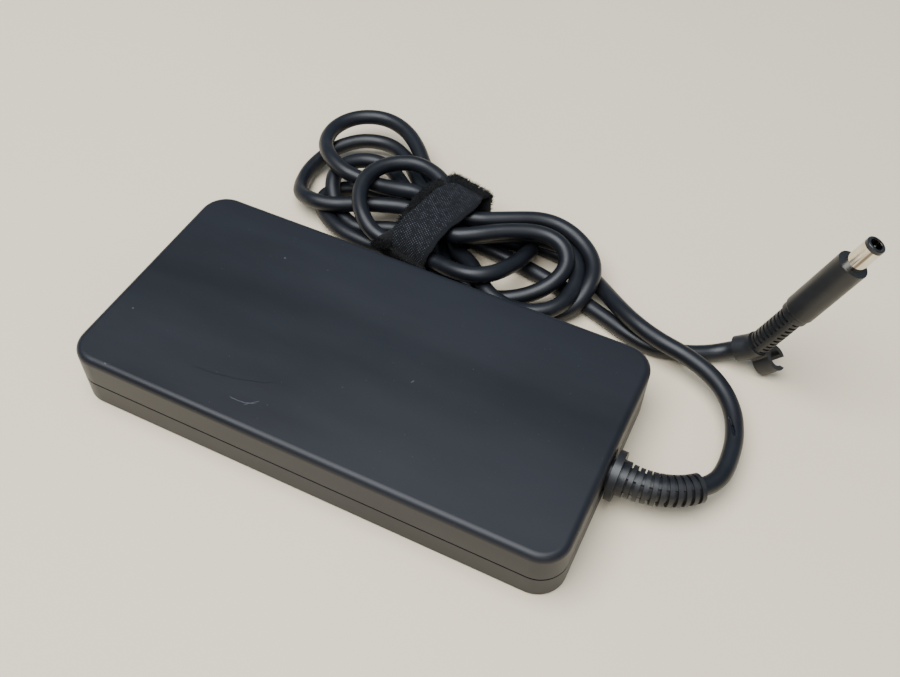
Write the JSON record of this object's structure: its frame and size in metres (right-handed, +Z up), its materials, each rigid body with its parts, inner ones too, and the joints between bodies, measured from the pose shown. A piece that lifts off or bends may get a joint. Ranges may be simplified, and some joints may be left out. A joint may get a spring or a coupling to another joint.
{
  "type": "laptop power adapter",
  "caption": "Slim black mains-to-DC laptop power adapter: two-shell case, mains inlet, DC cord wound and tied with a strap, strain reliefs and a barrel plug.",
  "frame": {"origin": "centre of the case's footprint, on the surface it rests on", "axes": "+X along the case towards the end that the DC cord leaves, +Y towards the long side that the wound cord lies behind, +Z up through the case's thickness"},
  "size_m": [0.2598, 0.195, 0.078],
  "materials": {
    "board": "solder mask",
    "capacitor_film": "moulded",
    "capacitor_sleeve": "shrink sleeve on an aluminium can",
    "case_plastic": "fine matt moulded texture",
    "ceramic": "dipped coat",
    "component_plastic": "moulded",
    "contact_metal": "nickel plated",
    "copper_wire": "enamelled",
    "cord_rubber": "extruded, satin",
    "ferrite": "sintered",
    "heat_metal": "rolled",
    "inlet_plastic": "smooth moulded",
    "insulation_film": "smooth film",
    "label_film": "smooth blank film",
    "lead_rubber": "insulated wire",
    "pad": "soft gap filler",
    "plug_plastic": "smooth overmould",
    "relief_rubber": "matt moulded rubber",
    "strap_fabric": "hook-and-loop weave",
    "tip_plastic": "moulded"
  },
  "bodies": {
    "root": {"bottom_heat_spreader": "heat_metal", "bottom_insulation": "insulation_film", "bridge_rectifier": "component_plastic", "bulk_capacitors": "capacitor_sleeve", "case_strain_relief": "relief_rubber", "choke_cores": "ferrite", "choke_windings": "copper_wire", "circuit_board": "board", "control_board": "board", "cord_case_run": "cord_rubber", "cord_hank": "cord_rubber", "cord_plug_run": "cord_rubber", "fuse": "ceramic", "hook_and_loop_strap": "strap_fabric", "inlet_earth_pin": "contact_metal", "inlet_housing": "inlet_plastic", "inlet_line_pin": "contact_metal", "inlet_neutral_pin": "contact_metal", "lower_case": "case_plastic", "output_capacitors": "capacitor_sleeve", "output_leads": "lead_rubber", "pfc_inductor_coil": "copper_wire", "pfc_inductor_core": "ferrite", "plug_barrel": "contact_metal", "plug_body": "plug_plastic", "plug_centre_pin": "contact_metal", "plug_inner_contact": "contact_metal", "plug_insulator": "tip_plastic", "plug_pin_base": "tip_plastic", "plug_strain_relief": "relief_rubber", "primary_heat_sink": "heat_metal", "primary_transistors": "component_plastic", "rating_label": "label_film", "rectifier_heat_sink": "heat_metal", "rectifier_transistors": "component_plastic", "resonant_capacitor": "capacitor_film", "resonant_inductor": "ferrite", "thermal_pads": "pad", "top_heat_spreader": "heat_metal", "top_insulation": "insulation_film", "transformer_coil": "capacitor_film", "transformer_core": "ferrite", "upper_case": "case_plastic", "x_capacitor": "capacitor_film", "y_capacitors": "ceramic"}
  },
  "joints": []
}
